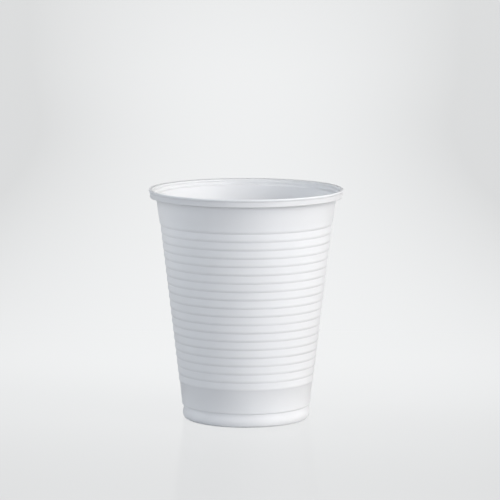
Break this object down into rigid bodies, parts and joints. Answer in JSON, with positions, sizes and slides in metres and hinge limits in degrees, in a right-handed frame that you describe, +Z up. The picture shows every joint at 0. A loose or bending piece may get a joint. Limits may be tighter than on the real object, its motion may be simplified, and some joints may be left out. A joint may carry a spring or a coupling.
{
  "type": "disposable cup",
  "caption": "Thin one-piece drinking cup: rolled rim with a small lip, tapered wall with stepped ribs, plain bands above and below, a groove, a rounded foot ring and a recessed base.",
  "frame": {"origin": "centre of the base, on the plane that the foot ring stands on", "axes": "+Z up along the cup's axis, from the foot to the mouth; the cup is the same all round, so +X and +Y are any two directions across it"},
  "size_m": [0.0702, 0.0702, 0.0836],
  "materials": {
    "cup_plastic": "satin"
  },
  "bodies": {
    "root": {"cup": "cup_plastic"}
  },
  "joints": []
}
